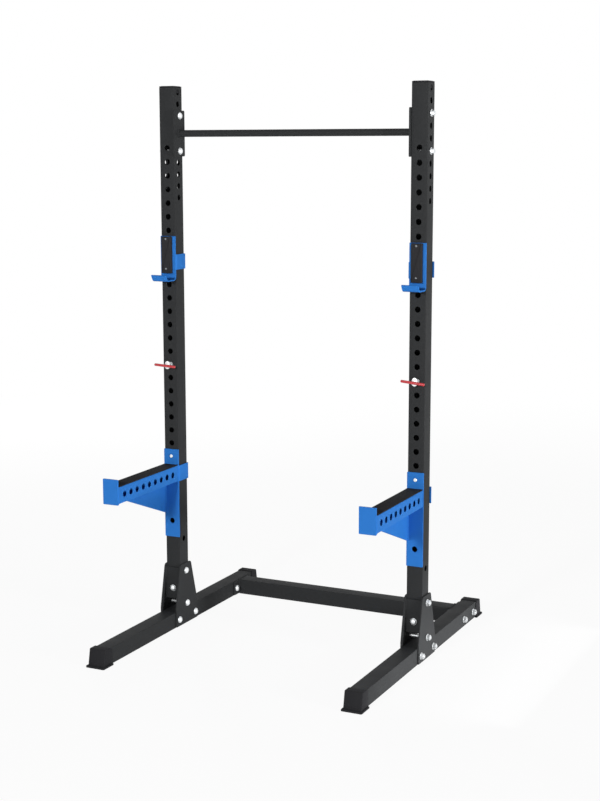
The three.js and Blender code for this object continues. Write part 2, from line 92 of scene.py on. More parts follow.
class Side(Enum):
    """Side of the rack, with the direction of its outer face."""

    LEFT = -1
    RIGHT = 1

    @property
    def label(self) -> str:
        """First word of the names on this side."""
        return self.name.lower()


def linear(code: str) -> tuple[float, float, float, float]:
    """Turns an sRGB hex colour into the linear values that a shader takes.

    Args:
        code: Colour such as "#1b1c1e".

    Returns:
        Linear red, green, blue and full opacity.
    """
    parts = [int(code[i : i + 2], 16) / 255 for i in (1, 3, 5)]
    line = [c / 12.92 if c <= 0.04045 else ((c + 0.055) / 1.055) ** 2.4 for c in parts]
    return line[0], line[1], line[2], 1.0


def quarter(steps: int) -> list[float]:
    """Angles from zero to a right angle, both included."""
    return [math.pi / 2 * k / steps for k in range(steps + 1)]


def rounded(corners: Sequence[Triple], steps: int = ROUND_STEPS) -> Outline:
    """Rounds the corners of a closed outline.

    Args:
        corners: Rows of x, y and the radius of that corner.
        steps: Straight steps in each rounded corner.

    Returns:
        Points of the outline in order.
    """
    points = []
    for i, (x, y, radius) in enumerate(corners):
        corner = Vector((x, y))
        if radius <= 0:
            points.append((x, y))
            continue
        back = (Vector(corners[i - 1][:2]) - corner).normalized()
        ahead = (Vector(corners[(i + 1) % len(corners)][:2]) - corner).normalized()
        half = back.angle(ahead) / 2
        centre = corner + (back + ahead).normalized() * (radius / math.sin(half))
        start = corner + back * (radius / math.tan(half)) - centre
        end = corner + ahead * (radius / math.tan(half)) - centre
        first = math.atan2(start.y, start.x)
        sweep = (math.atan2(end.y, end.x) - first + math.pi) % math.tau - math.pi
        for k in range(steps + 1):
            angle = first + sweep * k / steps
            points.append((centre.x + radius * math.cos(angle), centre.y + radius * math.sin(angle)))
    return points


def rectangle(
    x0: float, x1: float, y0: float, y1: float, radius: float = 0.0, steps: int = ROUND_STEPS
) -> Outline:
    """Outline of an upright rectangle, all its corners of one radius."""
    return rounded([(x, y, radius) for x, y in ((x0, y0), (x1, y0), (x1, y1), (x0, y1))], steps)


def circle(size: float, u: float = 0.0, v: float = 0.0, sides: int = BORE_SIDES) -> Outline:
    """Outline of a circle of a given diameter."""
    turns = [math.tau * k / sides for k in range(sides)]
    return [(u + size / 2 * math.cos(a), v + size / 2 * math.sin(a)) for a in turns]


def folded(path: Sequence[Triple], thickness: float) -> list[Triple]:
    """Outline of a sheet folded along its middle line.

    Args:
        path: Rows of x, y and the inside radius of the fold there.
        thickness: Thickness of the sheet.

    Returns:
        Corners of the closed outline, with their radii.
    """
    left, right = [], []
    for i, (x, y, radius) in enumerate(path):
        here = Vector((x, y))
        came = (here - Vector(path[i - 1][:2])).normalized() if i else None
        leaves = (Vector(path[i + 1][:2]) - here).normalized() if i + 1 < len(path) else came
        came = came or leaves
        normal = Vector((-came.y, came.x))
        middle = (normal + Vector((-leaves.y, leaves.x))).normalized()
        reach = middle * (thickness / 2 / middle.dot(normal))
        is_end = i in (0, len(path) - 1)
        turns_left = came.x * leaves.y - came.y * leaves.x > 0
        inner = 0.0 if is_end else radius
        outer = 0.0 if is_end else radius + thickness
        left.append((x + reach.x, y + reach.y, inner if turns_left else outer))
        right.append((x - reach.x, y - reach.y, outer if turns_left else inner))
    return right + left[::-1]


def shaped(points: Iterable[Vector], faces: Iterable[Sequence[int]]) -> Mesh:
    """Makes a mesh whose faces look outward.

    Args:
        points: Its points.
        faces: Numbers of the points of each face. Two numbers make an edge.

    Returns:
        The mesh.
    """
    bm = bmesh.new()
    verts = [bm.verts.new(point) for point in points]
    for face in faces:
        (bm.faces if len(face) > 2 else bm.edges).new([verts[i] for i in face])
    bmesh.ops.recalc_face_normals(bm, faces=bm.faces)
    mesh = bpy.data.meshes.new("shape")
    bm.to_mesh(mesh)
    bm.free()
    return mesh


def skin(axis: Axis, rings: Iterable[tuple[Outline, float]], caps: bool = False, loop: bool = False) -> Mesh:
    """Closed mesh with faces from each ring of points to the next.

    Args:
        axis: Axis of the rings.
        rings: Outline of each ring and its place along the axis. A ring of one point is a tip.
        caps: Whether a face closes the first ring and the last.
        loop: Whether the last ring meets the first.

    Returns:
        The mesh.
    """
    points, rows = [], []
    for outline, along in rings:
        rows.append(range(len(points), len(points) + len(outline)))
        points += [axis.place(u, v, along) for u, v in outline]
    faces = [rows[0], rows[-1]] if caps else []
    pairs = zip((rows[-1], *rows), rows) if loop else zip(rows, rows[1:])
    for lower, upper in pairs:
        for i in range(max(len(lower), len(upper))):
            ways = ((lower, i - 1), (lower, i), (upper, i), (upper, i - 1))
            faces.append(list(dict.fromkeys(row[k % len(row)] for row, k in ways)))
    return shaped(points, faces)


def prism(axis: Axis, low: float, high: float, outline: Outline) -> Mesh:
    """Solid with one outline, pushed along an axis from low to high."""
    return skin(axis, [(outline, low), (outline, high)], caps=True)


def turned(axis: Axis, profile: Outline, sides: int = BORE_SIDES) -> Mesh:
    """Solid of revolution, from rows of radius and place along the axis, on the axis at both ends."""
    rings = ((circle(r * 2, sides=sides) if r > 0 else [(0.0, 0.0)], along) for r, along in profile)
    return skin(axis, rings)


def linked(name: str, data: bpy.types.ID) -> bpy.types.Object:
    """Makes an object and puts it in the scene.

    Args:
        name: Name of the object.
        data: Its mesh, lamp or camera.

    Returns:
        The object.
    """
    made = bpy.data.objects.new(name, data)
    bpy.context.scene.collection.objects.link(made)
    return made


def merged(meshes: Iterable[Mesh]) -> Mesh:
    """Puts the shells of several meshes in one.

    Args:
        meshes: Meshes to take.

    Returns:
        The new mesh.
    """
    bm = bmesh.new()
    for mesh in meshes:
        bm.from_mesh(mesh)
    whole = bpy.data.meshes.new("shape")
    bm.to_mesh(whole)
    bm.free()
    return whole


def settled(mesh: Mesh, kind: str, settings: dict, inputs: dict | None = None) -> Mesh:
    """Works a modifier into a mesh.

    Args:
        mesh: Mesh to start from.
        kind: Type of the modifier.
        settings: Attributes of the modifier.
        inputs: Values for the named inputs of its node group, set by their identifiers.

    Returns:
        Plain mesh of the result.
    """
    holder = linked("holder", mesh)
    modifier = holder.modifiers.new("work", kind)
    for name, value in settings.items():
        setattr(modifier, name, value)
    for item in settings["node_group"].interface.items_tree if inputs else ():
        if item.in_out == "INPUT" and item.name in inputs:
            modifier[item.identifier] = inputs[item.name]
    graph = bpy.context.evaluated_depsgraph_get()
    result = bpy.data.meshes.new_from_object(holder.evaluated_get(graph), depsgraph=graph)
    bpy.data.objects.remove(holder)
    return result


def carved(mesh: Mesh, tools: Iterable[Mesh], operation: str = "DIFFERENCE") -> Mesh:
    """Takes tools out of a mesh, or keeps what they share with it.

    Args:
        mesh: Mesh to carve.
        tools: Closed meshes.
        operation: Boolean operation.

    Returns:
        The carved mesh.
    """
    tool = linked("tool", merged(tools))
    result = settled(mesh, "BOOLEAN", {"operation": operation, "solver": "EXACT", "object": tool})
    bpy.data.objects.remove(tool)
    return result


def eased(mesh: Mesh, width: float = 0.0, segments: int = 1) -> Mesh:
    """Takes the sharpness off the outer corners of a mesh and sets where its shading is smooth.

    Args:
        mesh: Mesh to ease, changed in place.
        width: Width of the eased edge.
        segments: Steps across it.

    Returns:
        The same mesh.
    """
    bm = bmesh.new()
    bm.from_mesh(mesh)
    bmesh.ops.remove_doubles(bm, verts=bm.verts, dist=1e-6)
    sharp = [e for e in bm.edges if len(e.link_faces) == 2 and e.calc_face_angle_signed(0.0) > CORNER_ABOVE]
    if sharp and width > 0:
        bmesh.ops.bevel(bm, geom=sharp, offset=width, segments=segments, profile=0.5, affect="EDGES")
    for face in bm.faces:
        face.smooth = True
    for edge in bm.edges:
        edge.smooth = len(edge.link_faces) == 2 and edge.calc_face_angle(0.0) < SMOOTH_BELOW
    bm.to_mesh(mesh)
    bm.free()
    return mesh


def add_node(tree: Tree, kind: str, inputs: dict | None = None, **settings) -> bpy.types.Node:
    """Adds a node to a tree, with its settings, input values and links.

    Args:
        tree: Node tree to add to.
        kind: Blender's name of the node type.
        inputs: Value or output socket for each input, by its name or number.
        settings: Attributes of the node.

    Returns:
        The new node.
    """
    node = tree.nodes.new(kind)
    for name, value in settings.items():
        setattr(node, name, value)
    for name, value in (inputs or {}).items():
        socket = node.inputs[name]
        if isinstance(value, Socket):
            tree.links.new(value, socket)
        else:
            socket.default_value = value
    return node


def maths(tree: Tree, operation: str, *values: float | Socket) -> Socket:
    """Result of a Math node on numbers and sockets."""
    return add_node(tree, "ShaderNodeMath", dict(enumerate(values)), operation=operation).outputs[0]


def new_tree(name: str, sockets: dict[str, str]) -> tuple[Tree, bpy.types.NodeOutputs]:
    """Starts a geometry node tree that takes and gives a Geometry.

    Args:
        name: Name of the tree.
        sockets: Kind of each further input, by name. A Finish for its surface comes last.

    Returns:
        The tree, and the sockets that hold its inputs.
    """
    tree = bpy.data.node_groups.new(name, "GeometryNodeTree")
    for label, kind in {"Geometry": "Geometry", **sockets, "Finish": "Material"}.items():
        tree.interface.new_socket(label, in_out="INPUT", socket_type=f"NodeSocket{kind}")
    tree.interface.new_socket("Geometry", in_out="OUTPUT", socket_type="NodeSocketGeometry")
    return tree, add_node(tree, "NodeGroupInput").outputs


def end_tree(tree: Tree, made: bpy.types.Node, finish: Socket) -> Tree:
    """Ends a tree: what its last node made turns into plain mesh and gets its material.

    Args:
        tree: Tree to end.
        made: Last node.
        finish: Socket with the material.

    Returns:
        The tree.
    """
    plain = add_node(tree, "GeometryNodeRealizeInstances", {"Geometry": made.outputs[0]})
    dressed = add_node(tree, "GeometryNodeSetMaterial", {"Geometry": plain.outputs[0], "Material": finish})
    add_node(tree, "NodeGroupOutput", {"Geometry": dressed.outputs[0]})
    return tree


def hole_row_tree() -> Tree:
    """Tree that drills a row of round holes through the mesh that it is given.

    Returns:
        The tree.
    """
    tree, given = new_tree("hole_row", {
        "Count": "Int", "First": "Vector", "Pitch": "Vector", "Turn": "Rotation", "Size": "Float",
        "Depth": "Float",
    })
    row = add_node(tree, "GeometryNodeMeshLine", {
        "Count": given["Count"], "Start Location": given["First"], "Offset": given["Pitch"],
    })
    drill = add_node(tree, "GeometryNodeMeshCylinder", {
        "Vertices": BORE_SIDES, "Radius": maths(tree, "MULTIPLY", given["Size"], 0.5),
        "Depth": given["Depth"],
    })
    drills = add_node(tree, "GeometryNodeInstanceOnPoints", {
        "Points": row.outputs[0], "Instance": drill.outputs["Mesh"], "Rotation": given["Turn"],
    })
    tools = add_node(tree, "GeometryNodeRealizeInstances", {"Geometry": drills.outputs[0]})
    cut = add_node(tree, "GeometryNodeMeshBoolean", {
        "Mesh 1": given["Geometry"],
        "Mesh 2": tools.outputs[0],
    }, operation="DIFFERENCE")
    return end_tree(tree, cut, given["Finish"])


def weld_tree() -> Tree:
    """Tree that lays a rippled weld bead along the edges that it is given.

    Returns:
        The tree.
    """
    tree, given = new_tree("weld_bead", {
        "Size": "Float", "Ripple pitch": "Float", "Ripple depth": "Float", "Seed": "Float",
    })
    path = add_node(tree, "GeometryNodeMeshToCurve", {"Mesh": given["Geometry"]})
    fine = add_node(tree, "GeometryNodeResampleCurve", {
        "Curve": path.outputs[0],
        "Length": maths(tree, "DIVIDE", given["Ripple pitch"], RIPPLE_STEPS),
    }, mode="LENGTH")
    along = add_node(tree, "GeometryNodeSplineParameter").outputs["Length"]
    turns = maths(tree, "DIVIDE", along, given["Ripple pitch"])
    wave = maths(tree, "SINE", maths(tree, "MULTIPLY", turns, math.tau))
    sway = add_node(tree, "ShaderNodeTexNoise", {
        "W": given["Seed"], "Scale": 220.0, "Detail": 1.0,
    }, noise_dimensions="4D")
    swell = maths(tree, "MULTIPLY_ADD", maths(tree, "ADD", wave, sway.outputs[0]), given["Ripple depth"], 1.0)
    section = add_node(tree, "GeometryNodeCurvePrimitiveCircle", {"Resolution": 8, "Radius": 1.0})
    bead = add_node(tree, "GeometryNodeCurveToMesh", {
        "Curve": fine.outputs[0], "Profile Curve": section.outputs[0],
        "Scale": maths(tree, "MULTIPLY", given["Size"], swell), "Fill Caps": True,
    })
    return end_tree(tree, bead, given["Finish"])


def fastener_tree() -> Tree:
    """Tree that sets a fastener on each point, along the point's own axis and turned by chance.

    Returns:
        The tree.
    """
    tree, given = new_tree("fasteners", {"Fastener": "Object", "Seed": "Int"})
    kind = add_node(tree, "GeometryNodeObjectInfo", {"Object": given["Fastener"]})
    axis = add_node(tree, "GeometryNodeInputNamedAttribute", {"Name": "nut_way"}, data_type="FLOAT_VECTOR")
    aim = add_node(tree, "FunctionNodeAlignRotationToVector", {"Vector": axis.outputs[0]}, axis="Z")
    chance = add_node(tree, "FunctionNodeRandomValue", {
        "Min": 0.0, "Max": math.tau, "Seed": given["Seed"],
    }, data_type="FLOAT")
    turn = add_node(tree, "FunctionNodeAxisAngleToRotation", {
        "Axis": (0.0, 0.0, 1.0),
        "Angle": next(s for s in chance.outputs if s.enabled),
    })
    spin = add_node(tree, "FunctionNodeRotateRotation", {
        "Rotation": aim.outputs[0],
        "Rotate By": turn.outputs[0],
    }, rotation_space="LOCAL")
    placed = add_node(tree, "GeometryNodeInstanceOnPoints", {
        "Points": given["Geometry"], "Instance": kind.outputs["Geometry"],
        "Rotation": spin.outputs[0],
    })
    return end_tree(tree, placed, given["Finish"])


def object_space(tree: Tree) -> Socket:
    """Object coordinates of a material, in metres."""
    return add_node(tree, "ShaderNodeTexCoord").outputs["Object"]


def noise(tree: Tree, size: float, detail: float) -> Socket:
    """Noise in object space, its features of a given size in metres."""
    values = {"Vector": object_space(tree), "Scale": 1 / size, "Detail": detail}
    return add_node(tree, "ShaderNodeTexNoise", values).outputs[0]


def between(tree: Tree, value: Socket, low: float, high: float) -> Socket:
    """Spreads the usual span of a noise over a range."""
    span = {"From Min": NOISE_SPAN[0], "From Max": NOISE_SPAN[1], "To Min": low, "To Max": high}
    return add_node(tree, "ShaderNodeMapRange", {"Value": value, **span}).outputs[0]


def relief(tree: Tree, height: Socket, depth: float) -> Socket:
    """Normal of a surface with bumps of a given depth in metres."""
    return add_node(tree, "ShaderNodeBump", {"Height": height, "Distance": depth, "Strength": 1.0}).outputs[0]


def looked_at(tree: Tree) -> Socket:
    """1 for rays from the camera, mirrored in metal or seen through glass, and 0 for light itself.

    Args:
        tree: Tree to add to.

    Returns:
        Socket with that value.
    """
    path = add_node(tree, "ShaderNodeLightPath").outputs
    seen = path["Is Camera Ray"]
    for kind in ("Is Glossy Ray", "Is Transmission Ray"):
        seen = maths(tree, "MAXIMUM", seen, path[kind])
    return seen


def start_material(name: str, values: dict) -> tuple[bpy.types.Material, Tree, bpy.types.Node]:
    """Makes a node material that holds only a Principled shader and its output.

    Args:
        name: Name of the material.
        values: Values that are the same all over, by input.

    Returns:
        The material, its tree and its shader.
    """
    material = bpy.data.materials.new(name)
    material.use_nodes = True
    tree = material.node_tree
    tree.nodes.clear()
    shader = add_node(tree, "ShaderNodeBsdfPrincipled", values)
    add_node(tree, "ShaderNodeOutputMaterial", {"Surface": shader.outputs[0]})
    return material, tree, shader


@dataclass(frozen=True)
class PowderCoat:
    """Polyester powder coat on steel, sprayed and baked: an even satin skin with a fine orange peel."""

    name: str
    colour: str
    roughness: float = 0.55
    gloss_level: float = 0.05
    peel: float = 1.8 * MM
    peel_height: float = 0.035 * MM
    patch: float = 70 * MM
    patch_gloss: float = 0.04

    def build(self) -> bpy.types.Material:
        """Makes the material.

        Returns:
            The material.
        """
        material, tree, shader = start_material(self.name, {
            "Base Color": linear(self.colour),
            "Specular IOR Level": self.gloss_level,
        })
        # the peel is drawn at about twice its real spacing, so that it still shows from a step away
        bump = relief(tree, noise(tree, self.peel, 2.0), self.peel_height)
        low, high = self.roughness - self.patch_gloss, self.roughness + self.patch_gloss
        tree.links.new(between(tree, noise(tree, self.patch, 3.0), low, high), shader.inputs["Roughness"])
        tree.links.new(bump, shader.inputs["Normal"])
        return material


@dataclass(frozen=True)
class ZincPlate:
    """Bright zinc on turned and forged steel: a pale, slightly streaked metal that has gone dull."""

    name: str = "bright_zinc_plate"
    colour: str = "#eceeef"
    dull: str = "#dcdfe1"
    roughness: float = 0.46
    streak: float = 0.9 * MM
    clearer: float = 0.08
    hazier: float = 0.1

    def build(self) -> bpy.types.Material:
        """Makes the material.

        Returns:
            The material.
        """
        material, tree, shader = start_material(self.name, {"Metallic": 1.0})
        haze = noise(tree, self.streak, 3.0)
        tint = add_node(tree, "ShaderNodeMix", {
            "Factor": haze, "A": linear(self.dull), "B": linear(self.colour),
        }, data_type="RGBA")
        tree.links.new(tint.outputs["Result"], shader.inputs["Base Color"])
        gloss = between(tree, haze, self.roughness - self.clearer, self.roughness + self.hazier)
        tree.links.new(gloss, shader.inputs["Roughness"])
        return material


@dataclass(frozen=True)
class MouldedPlastic:
    """Injection moulded plastic: a dull skin with the fine spark grain of its mould."""

    name: str
    colour: str
    roughness: float = 0.65
    gloss_level: float = 0.05
    grain: float = 1.1 * MM
    grain_height: float = 0.05 * MM

    def build(self) -> bpy.types.Material:
        """Makes the material.

        Returns:
            The material.
        """
        material, tree, shader = start_material(self.name, {
            "Base Color": linear(self.colour), "Roughness": self.roughness,
            "Specular IOR Level": self.gloss_level,
        })
        values = {"Vector": object_space(tree), "Scale": 1 / self.grain}
        grain = add_node(tree, "ShaderNodeTexVoronoi", values)
        tree.links.new(relief(tree, grain.outputs["Distance"], self.grain_height), shader.inputs["Normal"])
        return material


@dataclass(frozen=True)
class DippedVinyl:
    """Vinyl dip on a steel handle: a soft, thick red skin with a slow wave and a wet gloss."""

    name: str = "dipped_red_vinyl"
    colour: str = "#c3262f"
    roughness: float = 0.32
    coat: float = 0.3
    wave: float = 9 * MM
    wave_height: float = 0.25 * MM

    def build(self) -> bpy.types.Material:
        """Makes the material.

        Returns:
            The material.
        """
        material, tree, shader = start_material(self.name, {
            "Base Color": linear(self.colour), "Roughness": self.roughness, "Coat Weight": self.coat,
        })
        tree.links.new(relief(tree, noise(tree, self.wave, 1.0), self.wave_height), shader.inputs["Normal"])
        return material


class Finish(Enum):
    """Finishes of the rack, with the record's slot of each."""

    BLACK = "black_paint"
    BLUE = "blue_paint"
    ZINC = "zinc_steel"
    MOULDED = "black_plastic"
    WEAR = "pad_plastic"
    VINYL = "red_vinyl"


@dataclass(frozen=True)
class HoleRow:
    """Row of round holes right through a tube: their axis, the first one, the step to the next."""

    across: Axis
    first: Vector
    pitch: Vector
    count: int
    size: float
    depth: float = 90 * MM


class Workshop:
    """Holds the materials and node trees, and turns meshes into finished pieces."""

    def __init__(self) -> None:
        """Makes every material and tree once."""
        self.materials = {
            Finish.BLACK: PowderCoat("black_powder_coat", "#323334").build(),
            Finish.BLUE: PowderCoat("blue_powder_coat", "#3079cc").build(),
            Finish.ZINC: ZincPlate().build(),
            Finish.MOULDED: MouldedPlastic("moulded_polypropylene", "#2b2b2d").build(),
            Finish.WEAR: MouldedPlastic("wear_polyethylene", "#343436", 0.8, 0.02).build(),
            Finish.VINYL: DippedVinyl().build(),
        }
        # the pad screws get a darker copy of the zinc: painted shade of the recess round their heads
        self.dull_zinc = ZincPlate("dull_screw_zinc", "#8b8e91", "#6c6f72", 0.5).build()
        self.hole_row = hole_row_tree()
        self.weld = weld_tree()
        self.fasteners = fastener_tree()

    def drilled(self, mesh: Mesh, finish: Finish, row: HoleRow) -> Mesh:
        """Drills a row of holes.

        Args:
            mesh: Mesh to drill.
            finish: Finish of the mesh.
            row: The holes.

        Returns:
            The drilled mesh.
        """
        turns = {Axis.X: (0.0, math.pi / 2, 0.0), Axis.Y: (math.pi / 2, 0.0, 0.0)}
        return settled(mesh, "NODES", {"node_group": self.hole_row}, {
            "Count": row.count, "First": row.first, "Pitch": row.pitch, "Turn": turns[row.across],
            "Size": row.size, "Depth": row.depth, "Finish": self.materials[finish],
        })

    def bead(
        self, paths: Iterable[Sequence[Vector]], size: float, finish: Finish, closed: bool = False
    ) -> Mesh:
        """Lays weld beads along paths.

        Args:
            paths: Points of each bead's middle line.
            size: Radius of the bead.
            finish: Finish over the bead.
            closed: Whether each path runs back to its start.

        Returns:
            Mesh of the beads.
        """
        points, edges = [], []
        for path in paths:
            first = len(points)
            points += path
            edges += [(i, i + 1) for i in range(first, len(points) - 1)]
            if closed:
                edges.append((len(points) - 1, first))
        beads = settled(shaped(points, edges), "NODES", {"node_group": self.weld}, {
            "Size": size, "Ripple pitch": 2.6 * MM, "Ripple depth": 0.12, "Seed": 4.0,
            "Finish": self.materials[finish],
        })
        for polygon in beads.polygons:
            polygon.use_smooth = True
        return beads

    def piece(
        self, name: str, meshes: Iterable[Mesh], finish: Finish, at: Vector = Vector(),
        body: str = FRAME_BODY, nodes: Sequence[str] = (),
    ) -> bpy.types.Object:
        """Joins meshes into a finished piece that stands for CAD nodes.

        Args:
            name: Name of the piece.
            meshes: Its shells, in its own coordinates.
            finish: Its finish.
            at: Where its own origin lies in the frame.
            body: CAD body that it moves with.
            nodes: CAD nodes that it stands for, if not the one of its own name.

        Returns:
            The object.
        """
        mesh = merged(meshes)
        mesh.transform(Matrix.Translation(at))
        mesh.name = name
        mesh.materials.clear()
        mesh.materials.append(self.materials[finish])
        made = linked(name, mesh)
        nodes = nodes or [name]
        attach(made, body)
        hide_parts(*nodes)
        log.info("%s: %d faces", name, len(mesh.polygons))
        return made


def centre_of(node: str) -> Vector:
    """Middle of a CAD node's box."""
    low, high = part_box(node)
    return (low + high) / 2


def pivot_of(joint: str) -> Vector:
    """Point on the axis of a hinge."""
    return Vector(next(j for j in frame["joints"] if j["name"] == joint)["pos_m"])


@dataclass
class TubeStock:
    """Square steel tube that the rack is made of."""

    side: float = 60 * MM
    wall: float = 2 * MM
    corner: float = 1.5 * MM
    cut_edge: float = 0.4 * MM
    gap: float = 0.3 * MM

    @property
    def half(self) -> float:
        """Half of the outer side."""
        return self.side / 2

    @property
    def face(self) -> float:
        """Distance of a plate that lies on the tube from its axis."""
        return self.half + self.gap

    def blank(self, axis: Axis, low: float, high: float) -> Mesh:
        """Cuts a length of tube, open at both ends.

        Args:
            axis: Axis of the tube.
            low: Where it starts on that axis.
            high: Where it ends.

        Returns:
            Mesh of the wall.
        """
        half, inside = self.half, self.half - self.wall
        outer = rectangle(-half, half, -half, half, self.corner)
        inner = rectangle(-inside, inside, -inside, inside, max(self.corner - self.wall, self.wall / 6))
        return skin(axis, [(outer, low), (outer, high), (inner, high), (inner, low)], loop=True)


@dataclass
class Part:
    """What the parts of one side share."""

    shop: Workshop
    side: Side
    stock: TubeStock = field(default_factory=TubeStock)

    def called(self, what: str) -> str:
        """Name of something on this side."""
        return f"{self.side.label}_{what}"


@dataclass
class Upright(Part):
    """Drilled upright with the plug in its top."""

    hole: float = 21 * MM
    front_count: int = 29
    front_pitch: float = 50 * MM
    front_first: float = 303.8 * MM
    side_count: int = 10
    side_pitch: float = 42.3 * MM
    side_drop: float = 16.6 * MM
    low_side_hole: float = 229.5 * MM
    plug_crown: float = 1.2 * MM
    crown_inset: float = 3.6 * MM
    crown_edge: float = 0.96 * MM

    def build(self) -> None:
        """Makes the upright and its plug."""
        node = self.called("upright")
        low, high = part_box(node)
        length = high.z - low.z
        foot = Vector(((low.x + high.x) / 2, (low.y + high.y) / 2, low.z))
        mesh = self.stock.blank(Axis.Z, 0.0, length)
        first, last = Vector((0, 0, self.front_first)), Vector((0, 0, length - self.side_drop))
        for row in (
            HoleRow(Axis.Y, first, Vector((0, 0, self.front_pitch)), self.front_count, self.hole),
            HoleRow(Axis.X, last, Vector((0, 0, -self.side_pitch)), self.side_count, self.hole),
        ):
            mesh = self.shop.drilled(mesh, Finish.BLACK, row)
        reach = HoleRow.depth / 2
        low_hole = prism(Axis.X, -reach, reach, circle(self.hole, 0.0, self.low_side_hole))
        mesh = eased(carved(mesh, [low_hole]), self.stock.cut_edge)
        self.shop.piece(node, [mesh], Finish.BLACK, foot)
        self.build_plug()

    def build_plug(self) -> None:
        """Makes the plug: a crowned plate on a square stem."""
        node = self.called("upright_plug")
        low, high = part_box(node)
        centre = centre_of(node)
        half, corner = self.stock.half, self.stock.corner
        top = high.z - centre.z
        gap = self.stock.gap
        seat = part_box(self.called("upright"))[1].z - centre.z + gap
        rim = prism(Axis.Z, seat, top - self.plug_crown, rectangle(-half, half, -half, half, corner))
        shy = half - self.crown_inset
        crown = prism(Axis.Z, seat, top, rectangle(-shy, shy, -shy, shy, corner))
        inside = half - self.stock.wall - gap
        stem = prism(Axis.Z, low.z - centre.z, seat + gap, rectangle(-inside, inside, -inside, inside))
        self.shop.piece(node, [
            eased(rim, self.plug_crown, 4), eased(crown, self.crown_edge, 4),
            eased(stem, self.stock.cut_edge),
        ], Finish.MOULDED, centre)


@dataclass
class Foot(Part):
    """Long foot tube with a moulded cap on each end."""

    cap_wall: float = 2.7 * MM
    sleeve: float = 38 * MM
    top_reach: float = 6 * MM
    top_corner: float = 3.5 * MM
    slant: float = 13 * MM
    scoop: float = 14 * MM
    sole_flange: float = 5 * MM
    sole_height: float = 7 * MM
    sole_reach: float = 8 * MM
    sole_corner: float = 1.5 * MM
    cap_edge: float = 2.2 * MM
    sole_edge: float = 1.32 * MM

    def build(self) -> None:
        """Makes the tube and both caps."""
        node = self.called("foot")
        low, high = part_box(node)
        centre = centre_of(node)
        reach = (high.y - low.y) / 2
        tube = eased(self.stock.blank(Axis.Y, -reach, reach), self.stock.cut_edge)
        self.shop.piece(node, [tube], Finish.BLACK, centre)
        for end, way in (("front", -1), ("rear", 1)):
            at = Vector((centre.x, centre.y + way * reach, 0.0))
            self.build_cap(self.called(f"{end}_foot_cap"), way, at)

    def build_cap(self, node: str, way: int, at: Vector) -> None:
        """Makes one cap.

        Args:
            node: CAD node that it stands for.
            way: Direction along Y that its end looks.
            at: Point on the floor below the end of the tube.
        """
        face, gap, wall = self.stock.face, self.stock.gap, self.cap_wall
        wide = face + wall
        high = self.stock.side + gap * 2 + wall * 2
        toe = self.top_reach + self.slant
        body = prism(Axis.X, -wide, wide, rounded([
            (-self.sleeve, 0.0, 0.0), (toe, 0.0, 0.0), (self.top_reach, high, self.top_corner),
            (-self.sleeve, high, self.scoop),
        ]))
        socket = prism(Axis.X, -face, face, rectangle(-self.sleeve * 2, gap, wall, high - wall))
        flange = wide + self.sole_flange
        sole = prism(Axis.Z, 0.0, self.sole_height, rounded([
            (-flange, -self.sleeve, self.sole_corner), (flange, -self.sleeve, self.sole_corner),
            (flange, toe + self.sole_reach, self.sole_flange),
            (-flange, toe + self.sole_reach, self.sole_flange),
        ]))
        room = prism(Axis.Z, wall, high, rectangle(-face, face, -self.sleeve * 2, gap))
        meshes = [
            eased(carved(body, [socket]), self.cap_edge, 4),
            eased(carved(sole, [room]), self.sole_edge, 3),
        ]
        if way < 0:
            for mesh in meshes:
                mesh.transform(Matrix.Rotation(math.pi, 4, "Z"))
        self.shop.piece(node, meshes, Finish.MOULDED, at)


@dataclass
class BaseBracket(Part):
    """Two side plates welded to a web, which clamp the upright to its foot."""

    plate: float = 5 * MM
    top: float = 240 * MM
    knee: float = 75 * MM
    foot: float = 2 * MM
    top_front: float = 38 * MM
    top_rear: float = 41.5 * MM
    knee_front: float = 73 * MM
    knee_rear: float = 87.5 * MM
    foot_rear: float = 90 * MM
    corner: float = 12 * MM
    foot_corner: float = 5 * MM
    web_foot: float = 105 * MM
    cut_edge: float = 0.5 * MM
    bead: float = 2.2 * MM

    def build(self) -> None:
        """Makes the bracket."""
        upright = centre_of(self.called("upright"))
        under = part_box(self.called("foot"))[0].z
        outline = rounded([
            (-self.knee_front, self.foot, self.foot_corner),
            (self.foot_rear, self.foot, self.foot_corner), (self.knee_rear, self.knee, self.corner),
            (self.top_rear, self.top, self.corner), (-self.top_front, self.top, self.corner),
            (-self.knee_front, self.knee, self.corner),
        ], 8)
        inner, outer = self.stock.face, self.stock.face + self.plate
        plates = [prism(Axis.X, *ends, outline) for ends in ((inner, outer), (-outer, -inner))]
        web_top = self.top - self.corner
        web = prism(Axis.Y, -outer, -inner, rectangle(self.web_foot, web_top, -inner, inner))
        paths = [[Vector((way * inner, -outer, z)) for z in (self.web_foot, web_top)] for way in (-1, 1)]
        self.shop.piece(self.called("base_bracket"), [
            *(eased(mesh, self.cut_edge) for mesh in (*plates, web)),
            self.shop.bead(paths, self.bead, Finish.BLACK),
        ], Finish.BLACK, Vector((upright.x, upright.y, under)))


